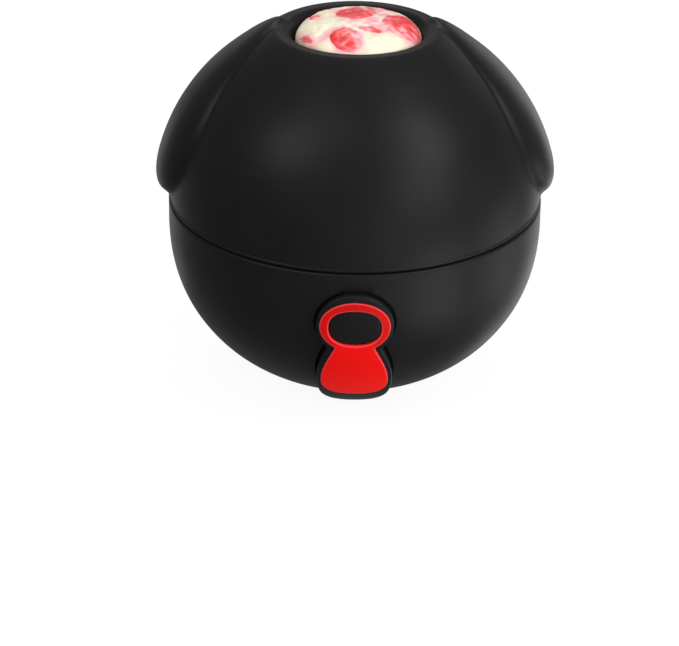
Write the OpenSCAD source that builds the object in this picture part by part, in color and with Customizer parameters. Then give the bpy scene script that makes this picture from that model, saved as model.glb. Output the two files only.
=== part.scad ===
// Treat dispensing ball. A thick rubber ball in two halves that screw together. The
// lower half is a heavy cup with a tall collar, the upper half is a cover with two
// hanging dog ears and a round hole, and a frozen filling shows through the hole.
// The ball stands on a flat foot. Z is up, the nose looks along -Y.

/* [Ball] */
// Widest diameter of the lower half
base_diameter = 82; // [78:0.5:90]
// Height of the seam above the foot
seam_height = 41.6; // [38:0.1:46]
// Diameter of the flat foot
foot_diameter = 23.2; // [16:0.2:28]
// How far the cover's edge lies inside the base's edge
cover_inset = 0.25; // [0.1:0.05:0.5]
// Open line between the two halves at the seam
seam_gap = 0.25; // [0.15:0.05:0.5]
// Rounding of the cover's lower edge
cover_edge_round = 0.5; // [0.3:0.1:0.6]
// Rounding of the base's shoulder edge
base_edge_round = 0.5; // [0.3:0.1:1]
// Rise of the base's shoulder from its edge to the collar
shoulder_rise = 0.6; // [0:0.05:1]
// Height of the lip round the cover's lower edge, above the seam
lip_height = 0.95; // [0.8:0.05:2]
// How far that lip stands out
lip_proud = 0.12; // [0.05:0.01:0.3]

/* [Collar and cup] */
// Thickness of the cover outside the room for the thread
cover_wall = 5.45; // [4.5:0.05:6]
// Thickness of the collar
collar_wall = 7.3; // [6.5:0.1:9]
// Height of the collar above the seam
collar_height = 19; // [17:0.1:19.5]
// Rounding of the collar's outer top edge
collar_outer_round = 4; // [3.6:0.1:5]
// Rounding of the collar's mouth
mouth_round = 2.2; // [1:0.1:2.8]
// Thickness of rubber under the cup
bottom_wall = 11; // [8:0.1:14]
// Rounding between the cup's wall and its floor
floor_round = 12; // [8:0.1:14]

/* [Thread] */
// Rise of the thread in one turn
thread_pitch = 6; // [5.5:0.1:6.5]
// Turns of the bead on the collar
bead_turns = 1.25; // [0.8:0.05:1.3]
// How far the bead stands out of the collar
bead_height = 1.6; // [1.2:0.1:1.8]
// Width of the bead at its root
bead_width = 3; // [2.4:0.1:3.2]
// Height of the bead's lower end above the seam
bead_start = 3; // [2.8:0.1:3.4]
// Turns of the ridge in the cover
ridge_turns = 1.1; // [0.8:0.05:1.2]
// Width of that ridge at its root
ridge_width = 2.2; // [1.6:0.1:2.4]
// Room between the collar and the cover's bore
collar_clearance = 0.4; // [0.3:0.05:0.6]
// Room between the thread's crests and the walls that they pass
crest_clearance = 0.5; // [0.4:0.05:0.6]

/* [Hole] */
// Radius of the licking hole
hole_radius = 13.5; // [11:0.1:14.5]
// Rounding of the hole's rim
rim_round = 3; // [2:0.1:4]
// Wall of the cover's dome
dome_wall = 5.2; // [4:0.1:6]

/* [Ears] */
// Full width of an ear, front to back
ear_width = 32.8; // [26:0.2:34]
// Length of an ear, measured straight up
ear_length = 36.6; // [33:0.1:38]
// Height of an ear's free end above the seam
ear_end_height = 1.5; // [1:0.1:4]
// How far an ear's root lies behind its free end
ear_lean = 4.4; // [0:0.2:6]
// How far an ear stands out near its free end
ear_proud = 2.4; // [1.5:0.1:3.2]
// How far an ear stands out at its root
ear_root_proud = 0.3; // [0.2:0.05:1]
// How far an ear's edge is sunk in the cover
ear_sink = 1.2; // [0.8:0.1:2]

/* [Nose and tongue] */
// Height of the pad's surface over the base
pad_proud = 1.9; // [1.4:0.1:2.4]
// Height of the red inlay over the base
inlay_proud = 2.35; // [1.8:0.05:3]
// Depth of the inlay's recess, left under the red
inlay_seat = 1; // [0.6:0.1:1.4]
// How far the nose is sunk in the pad
nose_sink = 0.4; // [0.1:0.05:1]
// Depth of the middle of the nose below the seam
nose_depth = 10.05; // [9:0.05:12]
// Width of the red ring round the nose
ring_width = 14; // [11:0.1:16]
// Height of that ring
ring_height = 11.8; // [9:0.1:13]
// Width of the black nose in the ring
nose_width = 10.7; // [8:0.1:11]
// Height of the nose
nose_height = 7.9; // [6:0.1:8.4]
// Width of the tongue at its neck
neck_width = 7.8; // [6:0.1:9]
// Depth of that neck below the seam
neck_depth = 15.25; // [14.5:0.05:16]
// Widest width of the tongue
tongue_width = 13.6; // [11:0.1:16]
// Depth of the tongue's widest place below the seam
tongue_middle_depth = 25; // [23:0.1:27]
// Depth of the tongue's tip below the seam
tongue_tip_depth = 32; // [30:0.1:33.5]
// Black border that the pad leaves round the red
pad_border = 1; // [0.8:0.05:1.6]
// Width of the pad at its neck
pad_neck_width = 11.6; // [10:0.1:13]
// Border that the pad leaves below the tongue's tip
tip_border = 3; // [1.5:0.1:3.4]

/* [Pegs and filling] */
// Thickness of the insert's floor
insert_floor = 4; // [3:0.1:6]
// Number of pegs
peg_count = 5; // [3:1:6]
// Room between the pegs' wide ends and the cup's wall
peg_margin = 7.7; // [5:0.1:10]
// Length of a peg, from its wide to its narrow end
peg_length = 9.8; // [8:0.1:11]
// Width of a peg's wide end
peg_wide = 5.6; // [4.5:0.1:6.5]
// Width of a peg's narrow end
peg_narrow = 2.8; // [2:0.1:3.5]
// How far the pegs stand out of the filling
peg_proud = 0.4; // [0.2:0.1:0.8]
// Depth of the filling's surface below the collar's top
filling_drop = 12; // [10:0.1:14]
// Size of a fruit cube in the base
cube_size = 4.6; // [3:0.1:5]
// How far the fruit stands out of the filling
fruit_proud = 0.25; // [0.1:0.05:0.5]
// Gap between a frozen filling and the rubber round it
fill_gap = 0.3; // [0.2:0.05:0.5]
// Height of the filling's crown above the hole's rim
crown_proud = 2.55; // [1:0.05:3.5]
// How far the crown falls at the edge of its top
crown_fall = 1; // [0.5:0.1:2]
// Rounding of the crown's shoulder
crown_round = 4; // [2.5:0.1:5]
// Depth of the fruit pieces in the crown
chunk_depth = 4.5; // [3:0.1:6]

/* [Hidden] */
$fn = 96;

black = [0.13, 0.13, 0.135];
peg_black = [0.13, 0.14, 0.18];
red = [0.89, 0.09, 0.09];
cream = [0.96, 0.93, 0.83];
berry = [0.91, 0.27, 0.27];

// Overrun of every cut past the face that it opens
cut = 1;
// Depth by which a bead or ridge is let into its wall
thread_sink = 0.5;
// Steps of a thread in one turn, and the share of a turn over which its ends taper
thread_steps = 40;
taper_share = 0.06;
// Corners across a thread
thread_corners = 7;
// Height of a thread at its very ends, as a share of its full height
end_share = 0.1;
// Angle at which the bead starts, seen from above
bead_angle = -68;
// Share of a turn by which the ridge starts after the bead
ridge_lag_share = 1 / 3;
// Steps of a quarter round, and of the long curve of an outline
round_steps = 6;
curve_steps = 18;
// Powers that square off the ovals of the nose and of the tongue's tip
nose_power = 0.8;
tip_power = 0.77;
// Share by which an ear's oval is narrower towards its root
ear_egg_share = 0.2;
// Place, as a share of half the ear's length below its middle, where the ear starts to
// thin towards its root, and the power of that thinning
ear_full_share = 0.35;
ear_thin_power = 1.2;
// Steps round an ear, its rings as shares of the way to its edge, and how much of the
// ear's height is left at each ring and at the edge
ear_rays = 60;
ear_rings = [0.3, 0.55, 0.75, 0.88, 0.95, 0.985];
ear_ring_heights = [1, 1, 0.98, 0.8, 0.5, 0.25];

// The belly is a quarter of an ellipse, set out from the axis and below the seam by
// these shares of the ball's diameter
belly_out_share = 0.03;
belly_drop_share = 0.05;
belly_out = belly_out_share * base_diameter;
belly_drop = belly_drop_share * base_diameter;
belly_radius = base_diameter / 2 - belly_out;
belly_middle = seam_height - belly_drop;
foot_angle = acos((foot_diameter / 2 - belly_out) / belly_radius);
belly_depth = belly_middle / sin(foot_angle);

// The cover, which is part of a ball about the middle of the seam, and its inside
cover_radius = base_diameter / 2 - cover_inset;
collar_radius = cover_radius - cover_wall - crest_clearance - bead_height;
bore_radius = collar_radius + collar_clearance;
thread_room_radius = cover_radius - cover_wall;
bead_end = bead_start + bead_turns * thread_pitch;
thread_room_height = bead_end + bead_width / 2 + crest_clearance;
round_middle = collar_height - collar_outer_round;
room_height = collar_height + collar_clearance;
dome_radius = cover_radius - dome_wall;
rim_middle_radius = hole_radius + rim_round;
rim_middle_height = sqrt(pow(cover_radius - rim_round, 2) - pow(rim_middle_radius, 2));
rim_angle = atan2(rim_middle_height, rim_middle_radius);

// The cup and the filling
mouth_radius = collar_radius - collar_wall;
peg_outer = mouth_radius - peg_margin;
peg_inner = peg_outer - peg_length;
crown_height = rim_middle_height + rim_round + crown_proud;
insert_top = bottom_wall + insert_floor;
filling_top = seam_height + collar_height - filling_drop;
peg_top = filling_top + peg_proud;
plug_radius = dome_radius - fill_gap;
plug_bottom = room_height + 2 * fill_gap;
neck_radius = hole_radius - fill_gap;

// Fruit in the base: place across, place back, turn. Places are shares of the cup's radius
disc_fruit_shares = [
    [-0.78, 0.43], [-0.32, 0.68], [-0.52, 0.42], [-0.16, 0.90], [0.20, 0.88],
    [-0.25, 0.30], [0.24, 0.34], [0.46, 0.56], [0.77, 0.44], [-0.22, -0.02],
    [0.09, -0.06], [0.84, 0.02], [0.48, -0.22], [-0.90, 0.08], [-0.64, -0.15],
    [0.00, -0.40], [-0.72, -0.46], [0.74, -0.46], [0.02, -0.76], [-0.38, -0.84]
];
// Turn of one fruit cube after the other
fruit_turn = 47;

// Fruit in the crown: place across, place back, width, length, as shares of the hole's
// radius, and turn in degrees
crown_fruit_shares = [
    [-0.13, 0.58, 0.46, 0.34, 12], [0.62, 0.22, 0.40, 0.62, 35],
    [-0.24, -0.34, 0.34, 0.66, 15], [0.12, 0.16, 0.34, 0.26, -20],
    [-0.62, 0.42, 0.24, 0.26, 40], [-0.58, -0.52, 0.26, 0.22, -30],
    [0.36, -0.62, 0.30, 0.26, 25]
];

// Points on an arc of an ellipse about c, with semi-axes a and b, from one angle to another
function arc(c, a, b, from, to, steps) =
    [for (i = [0 : steps]) let (t = from + (to - from) * i / steps) c + [a * cos(t), b * sin(t)]];

// The points after the first, for an arc that goes on from the point before it
function after(points) = [for (i = [1 : len(points) - 1]) points[i]];

// Outline of the base's outside, grown by t, from the axis at the foot to the seam
function belly_outline(t, edge) = concat(
    [[0, -t]],
    arc([belly_out, belly_middle], belly_radius + t, belly_depth + t, -foot_angle, 0, curve_steps),
    arc([base_diameter / 2 + t - edge, seam_height - edge], edge, edge, 0, 90, round_steps),
    [[collar_radius, seam_height + shoulder_rise], [0, seam_height + shoulder_rise]]
);

// Outline of the cup, or of what fills it up to a height with a gap all round
function cup_outline(gap, top) = concat(
    [[0, bottom_wall + gap]],
    arc(
        [mouth_radius - floor_round, bottom_wall + floor_round],
        floor_round - gap, floor_round - gap, -90, 0, round_steps
    ),
    [[mouth_radius - gap, top], [0, top]]
);

module turned(outline) {
    rotate_extrude() polygon(outline);
}

// A helical bead or ridge. Its root lies on radius root, and out is how far it stands
// out, negative for a ridge that points inwards. Each ring of points is a half ellipse.
module helix(root, out, width, turns, start_angle, start_height) {
    steps = ceil(thread_steps * turns);
    corners = thread_corners;
    way = sign(out);
    function swell(i) = min(1, i / steps * turns / taper_share, (steps - i) / steps * turns / taper_share);
    points = [
        for (i = [0 : steps])
            let (
                a = start_angle + i / steps * turns * 360,
                z = start_height + i / steps * turns * thread_pitch,
                reach = (abs(out) + thread_sink) * max(swell(i), end_share)
            )
            for (k = [0 : corners - 1])
                let (
                    t = 180 * k / (corners - 1),
                    r = root + way * (reach * sin(t) - thread_sink),
                    h = z - width / 2 * cos(t)
                )
                [r * cos(a), r * sin(a), h]
    ];
    sides = [
        for (i = [0 : steps - 1])
            for (k = [0 : corners - 1])
                let (
                    n = (k + 1) % corners,
                    p = i * corners + k,
                    q = i * corners + n
                )
                each [[p, q, p + corners], [q, q + corners, p + corners]]
    ];
    ends = [
        for (k = [1 : corners - 2])
            each [
                [0, k + 1, k],
                [steps * corners, steps * corners + k, steps * corners + k + 1]
            ]
    ];
    faces = concat(sides, ends);
    polyhedron(points, way > 0 ? faces : [for (f = faces) [f[0], f[2], f[1]]]);
}

// The nose's outline on the front, seen square on, with the seam at zero height
function nose_outline() = [
    for (i = [1 : 2 * curve_steps])
        let (
            t = 180 / curve_steps * i,
            c = cos(t),
            s = sin(t)
        )
        [
            nose_width / 2 * sign(c) * pow(abs(c), nose_power),
            -nose_depth + nose_height / 2 * sign(s) * pow(abs(s), nose_power)
        ]
];

// The tongue swells from its neck as a quarter sine, and its tip is a full, squarish round
function tongue_side(neck, width, tip) = concat(
    [
        for (i = [0 : round_steps])
            let (share = i / round_steps)
            [
                neck / 2 + (width - neck) / 2 * sin(90 * share),
                -neck_depth - (tongue_middle_depth - neck_depth) * share
            ]
    ],
    [
        for (i = [1 : curve_steps / 2])
            let (t = 180 / curve_steps * i)
            [
                width / 2 * pow(cos(t), tip_power),
                -tongue_middle_depth - (tip - tongue_middle_depth) * pow(sin(t), tip_power)
            ]
    ]
);

// One outline: the oval round the nose, open at its foot, where the tongue goes on
function tag_outline(oval_width, oval_height, neck, width, tip) =
    let (
        side = tongue_side(neck, width, tip),
        n = len(side),
        open_angle = acos(neck / oval_width)
    )
    concat(
        arc(
            [0, -nose_depth], oval_width / 2, oval_height / 2,
            -open_angle, 180 + open_angle, 2 * curve_steps
        ),
        [for (i = [0 : n - 1]) [-side[i][0], side[i][1]]],
        [for (i = [n - 2 : -1 : 0]) side[i]]
    );

module on_front() {
    translate([0, 0, seam_height])
        rotate([90, 0, 0])
            linear_extrude(base_diameter)
                children();
}

module pad_shape() {
    polygon(tag_outline(
        ring_width + 2 * pad_border, ring_height + 2 * pad_border,
        pad_neck_width, tongue_width + 2 * pad_border, tongue_tip_depth + tip_border
    ));
}

module inlay_shape() {
    difference() {
        polygon(tag_outline(ring_width, ring_height, neck_width, tongue_width, tongue_tip_depth));
        polygon(nose_outline());
    }
}

module front_layer(low, high) {
    intersection() {
        on_front() children();
        difference() {
            turned(belly_outline(high, base_edge_round));
            turned(belly_outline(low, base_edge_round));
        }
    }
}

// The ear's height over the cover at a place along it, which runs from -1 at the free
// end to 1 at the root: full at the free end, thinning towards the root
function ear_rise(place) =
    ear_root_proud + (ear_proud - ear_root_proud)
    * (1 - pow(max(0, place + ear_full_share) / (1 + ear_full_share), ear_thin_power));

// A point of an ear: share is the place from its middle outwards, t the angle round the
// egg-shaped outline, from the root
function ear_point(share, t, lift) =
    let (
        half = ear_length / 2,
        up = (1 + share * cos(t)) / 2,
        y = ear_lean * up * up + share * ear_width / 2 * sin(t) * (1 - ear_egg_share * cos(t)),
        z = ear_end_height + 2 * half * up,
        x = sqrt(max(0, pow(cover_radius, 2) - y * y - z * z)),
        grow = 1 + lift / cover_radius
    )
    [x, y, z] * grow;

module ear() {
    rings = len(ear_rings);
    turns = [for (i = [0 : ear_rays - 1]) 360 * i / ear_rays];
    points = concat(
        [ear_point(0, 0, ear_rise(0))],
        [
            for (k = [0 : rings - 1])
                for (t = turns)
                    ear_point(ear_rings[k], t, ear_ring_heights[k] * ear_rise(ear_rings[k] * cos(t)))
        ],
        [for (t = turns) ear_point(1, t, -ear_sink)],
        [[dome_radius / 2, 0, ear_end_height + ear_length / 2]]
    );
    last = len(points) - 1;
    faces = [
        for (i = [0 : ear_rays - 1])
            let (n = (i + 1) % ear_rays)
            each concat(
                [[0, 1 + i, 1 + n]],
                [
                    for (k = [0 : rings - 1])
                        let (p = 1 + k * ear_rays, q = p + ear_rays)
                        each [[p + i, q + i, p + n], [p + n, q + i, q + n]]
                ],
                [[last, 1 + rings * ear_rays + n, 1 + rings * ear_rays + i]]
            )
    ];
    translate([0, 0, seam_height])
        difference() {
            polyhedron(points, faces);
            // The root ends on top of the hole's rim
            cylinder(r = rim_middle_radius, h = cover_radius + ear_proud + cut);
        }
}

// Sub-parts

module base_shell() {
    color(black) {
        difference() {
            union() {
                turned(belly_outline(0, base_edge_round));
                translate([0, 0, seam_height])
                    turned(concat(
                        [[mouth_radius - cut, -cut], [collar_radius, -cut]],
                        arc(
                            [collar_radius - collar_outer_round, round_middle],
                            collar_outer_round, collar_outer_round, 0, 90, round_steps
                        ),
                        arc(
                            [mouth_radius + mouth_round, collar_height - mouth_round],
                            mouth_round, mouth_round, 90, 180, round_steps
                        ),
                        [[mouth_radius, 0], [mouth_radius - cut, 0]]
                    ));
                translate([0, 0, seam_height])
                    helix(collar_radius, bead_height, bead_width, bead_turns, bead_angle, bead_start);
            }
            turned(cup_outline(0, seam_height + collar_height - mouth_round));
        }
    }
}

module nose_pad() {
    color(black) {
        difference() {
            front_layer(0, pad_proud) pad_shape();
            front_layer(inlay_seat, pad_proud + cut) inlay_shape();
            front_layer(pad_proud - nose_sink, pad_proud + cut) polygon(nose_outline());
        }
    }
}

module tongue_inlay() {
    color(red) front_layer(inlay_seat, inlay_proud) inlay_shape();
}

// One peg, drawn along +X: two round ends and the flanks that touch both
module peg_shape() {
    wide_middle = peg_outer - peg_wide / 2;
    narrow_middle = peg_inner + peg_narrow / 2;
    flank = acos((peg_wide - peg_narrow) / 2 / (wide_middle - narrow_middle));
    polygon(concat(
        arc([narrow_middle, 0], peg_narrow / 2, peg_narrow / 2, 180 - flank, 180 + flank, 2 * round_steps),
        arc([wide_middle, 0], peg_wide / 2, peg_wide / 2, flank - 180, 180 - flank, 2 * round_steps)
    ));
}

// The pegs, from inside the insert's floor up to a height
module pegs(top) {
    foot = insert_top - insert_floor / 2;
    for (i = [0 : peg_count - 1])
        rotate([0, 0, 90 + 360 / peg_count * i])
            translate([0, 0, foot])
                linear_extrude(top - foot) peg_shape();
}

module peg_insert() {
    color(peg_black) {
        intersection() {
            turned(cup_outline(fill_gap / 2, filling_top));
            cylinder(r = mouth_radius, h = insert_top);
        }
        pegs(peg_top);
    }
}

module disc_cubes(top) {
    for (i = [0 : len(disc_fruit_shares) - 1])
        translate([
            disc_fruit_shares[i][0] * (mouth_radius - cube_size / 2),
            disc_fruit_shares[i][1] * (mouth_radius - cube_size / 2),
            filling_top - cube_size
        ])
            rotate([0, 0, fruit_turn * i])
                linear_extrude(cube_size + top) square(cube_size, center = true);
}

module treat_disc() {
    color(cream) difference() {
        turned(cup_outline(fill_gap / 2, filling_top));
        cylinder(r = mouth_radius, h = insert_top);
        pegs(peg_top + cut);
        disc_cubes(cut);
    }
}

module disc_fruit() {
    color(berry) difference() {
        intersection() {
            disc_cubes(fruit_proud);
            cylinder(r = mouth_radius - fill_gap, h = filling_top + cube_size);
        }
        pegs(peg_top + cut);
    }
}

// The filling of the cover: a dome, and a crown that stands up through the hole
module plug_body(raise) {
    crown_shoulder = crown_height - crown_fall - crown_round + raise;
    top_radius = neck_radius - crown_round;
    rounding = [
        for (i = [0 : round_steps])
            let (t = 90 * i / round_steps)
            [top_radius + crown_round * cos(t), crown_shoulder + crown_round * sin(t)]
    ];
    crown = [
        for (i = [1 : round_steps])
            let (s = 1 - i / round_steps)
            [top_radius * s, crown_height + raise - crown_fall * s * s]
    ];
    from = asin(plug_bottom / plug_radius);
    to = acos(neck_radius / plug_radius);
    translate([0, 0, seam_height])
        turned(concat(
            [[0, plug_bottom]],
            arc([0, 0], plug_radius, plug_radius, from, to, curve_steps),
            rounding,
            crown
        ));
}

module crown_blocks(height) {
    for (f = crown_fruit_shares)
        translate([f[0] * neck_radius, f[1] * neck_radius, seam_height + crown_height - crown_round - chunk_depth])
            rotate([0, 0, f[4]])
                linear_extrude(height)
                    square([f[2] * neck_radius, f[3] * neck_radius], center = true);
}

module treat_plug() {
    color(cream) difference() {
        plug_body(0);
        crown_blocks(crown_round + chunk_depth + cut);
    }
}

module plug_fruit() {
    color(berry) intersection() {
        plug_body(fruit_proud);
        crown_blocks(crown_round + chunk_depth + cut);
    }
}

module cover_shell() {
    lip_radius = sqrt(pow(cover_radius, 2) - pow(lip_height, 2)) + lip_proud;
    lip_top = lip_height + lip_proud;
    // The cover's lower face lies on the base's sloping shoulder with the seam's gap between
    inner_gap = seam_gap + shoulder_rise * (cover_radius - thread_room_radius) / (cover_radius - collar_radius);
    ridge_start = bead_start - thread_pitch / 2 + ridge_lag_share * thread_pitch;
    color(black) {
        difference() {
            union() {
                translate([0, 0, seam_height])
                    turned(concat(
                        [[0, inner_gap], [thread_room_radius - cut, inner_gap], [thread_room_radius, inner_gap]],
                        arc(
                            [lip_radius - cover_edge_round, seam_gap + cover_edge_round],
                            cover_edge_round, cover_edge_round, -90, 0, round_steps
                        ),
                        [[lip_radius, lip_height]],
                        arc(
                            [0, 0], cover_radius, cover_radius,
                            asin(lip_top / cover_radius), rim_angle, curve_steps
                        ),
                        after(arc(
                            [rim_middle_radius, rim_middle_height],
                            rim_round, rim_round, rim_angle, 180, round_steps
                        )),
                        [[0, rim_middle_height]]
                    ));
                ear();
                mirror([1, 0, 0]) ear();
            }
            // Room for the collar and its thread, and the dome above it
            translate([0, 0, seam_height])
                rotate_extrude() {
                    polygon(concat(
                        [
                            [0, seam_gap - cut],
                            [thread_room_radius, seam_gap - cut],
                            [thread_room_radius, thread_room_height],
                            [bore_radius, thread_room_height + thread_room_radius - bore_radius]
                        ],
                        arc(
                            [collar_radius - collar_outer_round, round_middle],
                            collar_outer_round + collar_clearance, collar_outer_round + collar_clearance,
                            0, 90, round_steps
                        ),
                        [[0, room_height]]
                    ));
                    polygon(concat(
                        [[0, room_height - cut]],
                        arc(
                            [0, 0], dome_radius, dome_radius,
                            asin((room_height - cut) / dome_radius), 90, curve_steps
                        )
                    ));
                }
            // The licking hole
            translate([0, 0, seam_height + room_height])
                cylinder(r = hole_radius, h = cover_radius);
        }
        translate([0, 0, seam_height])
            helix(
                thread_room_radius, -bead_height, ridge_width, ridge_turns,
                bead_angle + 360 * ridge_lag_share, ridge_start
            );
    }
}

base_shell();
nose_pad();
tongue_inlay();
peg_insert();
treat_disc();
disc_fruit();
treat_plug();
plug_fruit();
cover_shell();
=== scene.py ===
"""Treat dispensing ball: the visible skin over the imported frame, with its camera, lights and floor."""
import math

import bpy
import numpy as np
from mathutils import Matrix, Vector, geometry
from mathutils import noise as perlin


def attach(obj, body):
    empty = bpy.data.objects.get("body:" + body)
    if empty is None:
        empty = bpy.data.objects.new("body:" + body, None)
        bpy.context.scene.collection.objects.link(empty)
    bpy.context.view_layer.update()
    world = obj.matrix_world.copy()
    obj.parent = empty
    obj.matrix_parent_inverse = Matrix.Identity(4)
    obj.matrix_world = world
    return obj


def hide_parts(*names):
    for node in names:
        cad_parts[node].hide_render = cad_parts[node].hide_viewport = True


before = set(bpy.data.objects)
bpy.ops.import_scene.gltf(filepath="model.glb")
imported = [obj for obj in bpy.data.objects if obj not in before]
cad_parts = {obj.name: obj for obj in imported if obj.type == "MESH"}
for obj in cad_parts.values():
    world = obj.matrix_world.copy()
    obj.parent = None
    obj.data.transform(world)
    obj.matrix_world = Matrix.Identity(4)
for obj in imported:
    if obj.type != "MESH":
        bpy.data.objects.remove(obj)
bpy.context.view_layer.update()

# Sizes in millimetres, most of them the CAD part's own. Heights start at the foot or at the seam
MM = 0.001
SEAM = 41.6
COVER_R = 40.75
BASE_R = 41.0
SEAM_GAP = 0.25
LIP_HEIGHT = 0.95
LIP_PROUD = 0.12
EDGE_ROUND = 0.5
SHOULDER_RISE = 0.6
COLLAR_R = 33.2
COLLAR_TOP = 19.0
COLLAR_ROUND = 4.0
MOUTH_R = 25.9
MOUTH_ROUND = 2.2
THREAD_ROOM_R = 35.3
THREAD_ROOM_TOP = 12.5
BORE_R = 33.6
ROOM_TOP = 19.4
DOME_R = 35.55
DOME_FOOT = ROOM_TOP + 0.3
HOLE_R = 13.5
RIM_ROUND = 3.0
RIM_R = HOLE_R + RIM_ROUND
RIM_Z = math.sqrt((COVER_R - RIM_ROUND) ** 2 - RIM_R ** 2)
BELLY_OUT = 2.46
BELLY_R = 38.54
BELLY_DEPTH = 38.6012
BELLY_Z = 37.5
FOOT_ANGLE = 76.2812
BOTTOM_WALL = 11.0
FLOOR_ROUND = 12.0
FILL_GAP = 0.15
FILLING_TOP = SEAM + 7.0
PEG_TOP = FILLING_TOP + 0.4

# The thread: its bead on the collar and its ridge in the cover, heights above the seam
PITCH = 6.0
THREAD_HEIGHT = 1.6
THREAD_TAPER_TURNS = 0.09
THREAD_POWER = 0.75
THREAD_STEP = 0.3
BEAD_ANGLE = -68.0
BEAD_START = 3.0
BEAD_TURNS = 1.25
BEAD_WIDTH = 3.0
RIDGE_ANGLE = BEAD_ANGLE + 120
RIDGE_START = 2.0
RIDGE_TURNS = 1.1
RIDGE_WIDTH = 2.2

# Distances under which two places are the same, one that nothing reaches, and the least to divide by
SAME_POINT = 1e-4
SAME_WALL = 0.01
SAME_CORNER = 1e-7
FAR = 1e9
TINY = 1e-12

# Where the rings of flat faces lie, and the innermost of a round top as a share of its radius
NEAR_AXIS = 1.0
BASE_NEAR_AXIS = 1.5
FOOT_MIDWAY = 6.0
FLOOR_MIDWAY = 8.0
FILLING_MIDWAY = 14.0
TOP_NEAR_AXIS = 0.02


# Outlines, as arrays of points


def oval_arc(cx, cz, a, b, start, end, steps):
    """Points of an ellipse's arc from one angle to another, in degrees."""
    t = np.radians(np.linspace(start, end, steps + 1))
    return np.stack([cx + a * np.cos(t), cz + b * np.sin(t)], 1)


def arc(cx, cz, radius, start, end, steps):
    return oval_arc(cx, cz, radius, radius, start, end, steps)


def cup_floor(gap, start, end, steps):
    """The round between the cup's wall and floor, or of what lies on it with a gap."""
    return arc(MOUTH_R - FLOOR_ROUND, BOTTOM_WALL + FLOOR_ROUND, FLOOR_ROUND - gap, start, end, steps)


def level(height, *radii):
    """Points of an outline at one height."""
    return [[radius, height] for radius in radii]


def joined(*parts):
    """One outline from several, without the points that repeat."""
    points = np.concatenate([np.asarray(part, float) for part in parts])
    keep = [0]
    for i in range(1, len(points)):
        if np.linalg.norm(points[i] - points[keep[-1]]) > SAME_POINT:
            keep.append(i)
    return points[keep]


def spaced(outline, step, closed=False):
    """The outline with points added so that no stretch is longer than step."""
    out = []
    count = len(outline)
    for i in range(count if closed else count - 1):
        p, q = outline[i], outline[(i + 1) % count]
        parts = max(1, int(math.ceil(np.linalg.norm(q - p) / step)))
        out += [p + (q - p) * k / parts for k in range(parts)]
    if not closed:
        out.append(outline[-1])
    return np.array(out)


def softened(outline, step, passes):
    """The closed outline with even points, its corners slightly rounded."""
    points = spaced(outline, step, True)
    for _ in range(passes):
        points = 0.5 * points + 0.25 * (np.roll(points, 1, 0) + np.roll(points, -1, 0))
    return points


def inset(outline, distance):
    """The closed outline moved inwards by a distance. Its points run counter-clockwise."""
    ahead = np.roll(outline, -1, 0) - np.roll(outline, 1, 0)
    ahead /= np.linalg.norm(ahead, axis=1)[:, None]
    return outline + np.stack([-ahead[:, 1], ahead[:, 0]], 1) * distance


def counter_clockwise(outline):
    x, y = outline[:, 0], outline[:, 1]
    area = np.sum(x * np.roll(y, -1) - np.roll(x, -1) * y)
    return outline if area > 0 else outline[::-1]


def turned_by(points, degrees):
    """Points turned about Z, as pairs of x and y."""
    angle = math.radians(degrees)
    cosine, sine = math.cos(angle), math.sin(angle)
    x, y = points[:, 0], points[:, 1]
    return np.stack([x * cosine - y * sine, x * sine + y * cosine], 1)


def within(points, outline):
    """Which points lie in a closed outline."""
    x, y = points[:, 0], points[:, 1]
    result = np.zeros(len(points), bool)
    for (x1, y1), (x2, y2) in zip(outline, np.roll(outline, -1, 0)):
        if y1 == y2:
            continue
        crosses = (y1 > y) != (y2 > y)
        result ^= crosses & (x < (x2 - x1) * (y - y1) / (y2 - y1) + x1)
    return result


def distance_to(points, outline):
    """Distance of each point from a closed outline."""
    best = np.full(len(points), FAR)
    for p, q in zip(outline, np.roll(outline, -1, 0)):
        line = q - p
        share = np.clip(((points - p) @ line) / max(TINY, line @ line), 0, 1)
        best = np.minimum(best, np.linalg.norm(points - p - share[:, None] * line, axis=1))
    return best


def distance_outside(points, outline):
    """Distance of each point from a closed outline, and none inside it."""
    return np.where(within(points, outline), 0, distance_to(points, outline))


def smoothstep(x):
    x = np.clip(x, 0, 1)
    return x * x * (3 - 2 * x)


def waves(x, y, frequency, size):
    """Smooth uneven heights at places, the same on each run."""
    layer = 3.7
    flat = np.stack([np.ravel(x), np.ravel(y)], 1) * frequency
    values = [perlin.noise(Vector((a, b, layer))) for a, b in flat]
    return size * np.array(values).reshape(np.shape(x))


# Meshes


def set_attribute(piece, name, values):
    attribute = piece.data.attributes.new(name, "FLOAT", "POINT")
    attribute.data.foreach_set("value", np.asarray(values, np.float32))


def make_mesh(name, points, faces, body, material, replaced=()):
    """A smooth piece that rides on a body and stands in for the CAD nodes it replaces."""
    mesh = bpy.data.meshes.new(name)
    mesh.from_pydata((np.asarray(points) * MM).tolist(), [], faces)
    mesh.update()
    mesh.polygons.foreach_set("use_smooth", [True] * len(mesh.polygons))
    piece = bpy.data.objects.new(name, mesh)
    bpy.context.scene.collection.objects.link(piece)
    mesh.materials.append(material)
    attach(piece, body)
    if replaced:
        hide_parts(*replaced)
    return piece


def even_angles(turns):
    return np.linspace(0, 2 * np.pi, turns, endpoint=False)


def turned_grid(outline, angles):
    """Rings of an outline turned about Z by each angle, as an array of turn, outline point, xyz."""
    grid = np.zeros((len(angles), len(outline), 3))
    grid[:, :, 0] = np.cos(angles)[:, None] * outline[None, :, 0]
    grid[:, :, 1] = np.sin(angles)[:, None] * outline[None, :, 0]
    grid[:, :, 2] = outline[None, :, 1]
    return grid


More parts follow.
